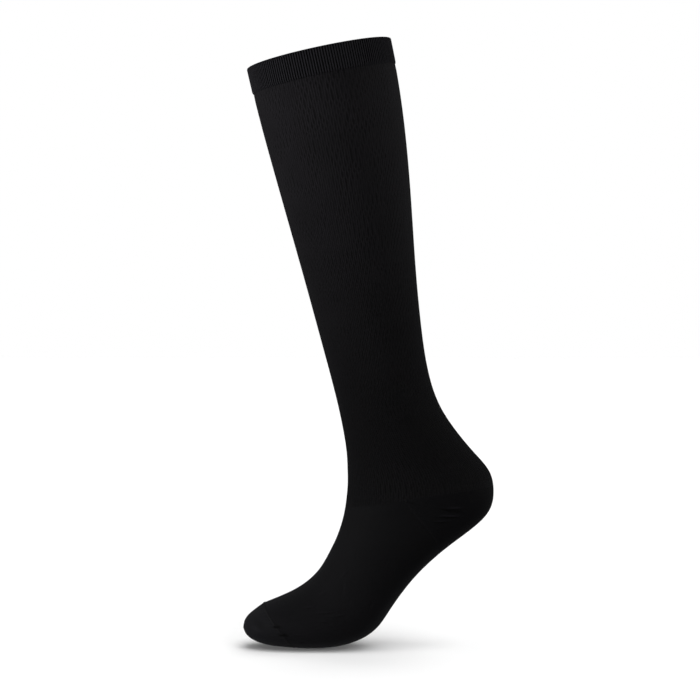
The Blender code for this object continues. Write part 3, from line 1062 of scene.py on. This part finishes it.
studio = {
    "floorSize": 30.0,
    "floorShade": 0.95,
    "floorRough": 0.9,
    "floorLights": (                  # strength, softness in degrees, direction it comes from
        ("softTop", 1.05, 50, (0.15, -0.25, 1.0)),
        ("softFront", 1.25, 45, (0.6, -1.5, 1.0)),
        ("softBack", 0.92, 40, (0.3, 1.2, 1.0)),
    ),
    "floorGlow": 0.30,                # strength of a light that casts no shadow
    "sunDistance": 3.0,               # metres, though only the direction of a sun matters
    "softboxes": (                    # power in watts, size in metres, place from the middle
        ("keySoftbox", 22.5, 0.9, (-1.35, -0.65, 0.25)),
        ("rimSoftbox", 6.0, 0.7, (1.25, 0.10, 0.50)),
        ("fillSoftbox", 1.4, 0.4, (0.75, -0.95, -0.17)),
        ("bounceSoftbox", 1.9, 0.5, (0.05, -0.50, -0.85)),
    ),
    "roomAbove": 0.36,                # how bright the room is to the cloth, by direction
    "roomLevel": 0.19,
    "roomBelow": 0.16,
    "cameraDistance": 2.0,
    "cameraHeight": 0.0242,           # above the point it looks at
    "aimFromMiddle": (-0.0149, 0.0, -0.0057),
    "lens": 127.0,
}


def pointAt(item, target):
    item.rotation_euler = (Vector(target) - item.location).to_track_quat("-Z", "Y").to_euler()


def placed(name, data, offset):
    item = inScene(name, data)
    item.location = [m + d for m, d in zip(middle, offset)]
    pointAt(item, middle)
    return item


def makeFloor():
    half = studio["floorSize"] / 2
    corners = np.array([(-half, -half, 0), (half, -half, 0), (half, half, 0), (-half, half, 0)])
    corners = corners + [middle[0], 0, low[2]]
    mesh = bpy.data.meshes.new("floor")
    mesh.from_pydata(corners.tolist(), [], [(0, 1, 2, 3)])
    floor = inScene("floor", mesh)
    material = bpy.data.materials.new("paleFloor")
    material.use_nodes = True
    shader = material.node_tree.nodes["Principled BSDF"]
    setInputs(shader, {"Base Color": (*[studio["floorShade"]] * 3, 1),
                       "Roughness": studio["floorRough"], "Specular IOR Level": 0.0})
    mesh.materials.append(material)
    floor.visible_diffuse = False       # its glare is left off the cloth
    floor.visible_glossy = False


# The room is white to the camera. The cloth sees it brighter above than below: the strength is
# the level's, moved towards the top's or the bottom's by how steep the ray is
def makeRoom():
    world = bpy.data.worlds.new("room")
    world.use_nodes = True
    tree = world.node_tree
    seen = tree.nodes["Background"]
    setInputs(seen, {"Color": (1, 1, 1, 1), "Strength": 1.0})
    way = tree.nodes.new("ShaderNodeTexCoord")
    split = tree.nodes.new("ShaderNodeSeparateXYZ")
    tree.links.new(way.outputs["Generated"], split.inputs[0])
    ramp = tree.nodes.new("ShaderNodeValToRGB")
    steep = mathNode(tree, "MULTIPLY_ADD", split.outputs["Z"], 0.5)
    steep.node.inputs[2].default_value = 0.5
    ramp.color_ramp.elements[0].color = (*[studio["roomBelow"]] * 3, 1)
    ramp.color_ramp.elements[1].color = (*[studio["roomAbove"]] * 3, 1)
    level = ramp.color_ramp.elements.new(0.5)
    level.color = (*[studio["roomLevel"]] * 3, 1)
    tree.links.new(steep, ramp.inputs["Fac"])
    fill = tree.nodes.new("ShaderNodeBackground")
    tree.links.new(ramp.outputs["Color"], fill.inputs["Color"])
    ray = tree.nodes.new("ShaderNodeLightPath")
    mix = tree.nodes.new("ShaderNodeMixShader")
    tree.links.new(ray.outputs["Is Camera Ray"], mix.inputs["Fac"])
    tree.links.new(fill.outputs[0], mix.inputs[1])
    tree.links.new(seen.outputs[0], mix.inputs[2])
    tree.links.new(mix.outputs[0], tree.nodes["World Output"].inputs["Surface"])
    bpy.context.scene.world = world


def gathered(name, members):
    group = bpy.data.collections.new(name)
    for member in members:
        group.objects.link(member)
    return group


# The suns light only the floor, where the foot and toe shade them, and the softboxes only the
# cloth. The floor's glow casts no shadow.
def makeLights():
    floor = gathered("floorOnly", [bpy.data.objects["floor"]])
    cloth = gathered("clothOnly", clothPieces)
    shading = gathered("standing", [footTube, toeCap])
    for name, strength, softness, offset in studio["floorLights"]:
        sun = bpy.data.lights.new(name, "SUN")
        sun.energy = strength
        sun.angle = np.radians(softness)
        item = placed(name, sun, [d * studio["sunDistance"] for d in offset])
        item.light_linking.receiver_collection = floor
        item.light_linking.blocker_collection = shading
    glow = bpy.data.lights.new("floorGlow", "SUN")
    glow.energy = studio["floorGlow"]
    glow.use_shadow = False
    item = placed("floorGlow", glow, (0.0, 0.0, studio["sunDistance"]))
    item.light_linking.receiver_collection = floor
    for name, power, size, offset in studio["softboxes"]:
        softbox = bpy.data.lights.new(name, "AREA")
        softbox.energy = power
        softbox.size = size
        item = placed(name, softbox, offset)
        item.light_linking.receiver_collection = cloth
        item.light_linking.blocker_collection = cloth


def makeCamera():
    camera = inScene("camera", bpy.data.cameras.new("camera"))
    aim = [m + a for m, a in zip(middle, studio["aimFromMiddle"])]
    camera.location = (aim[0], aim[1] - studio["cameraDistance"], aim[2] + studio["cameraHeight"])
    camera.data.lens = studio["lens"]
    pointAt(camera, aim)
    bpy.context.scene.camera = camera


makeFloor()
makeRoom()
makeLights()
makeCamera()
bpy.context.scene.view_settings.view_transform = "Standard"
print("studio ready")
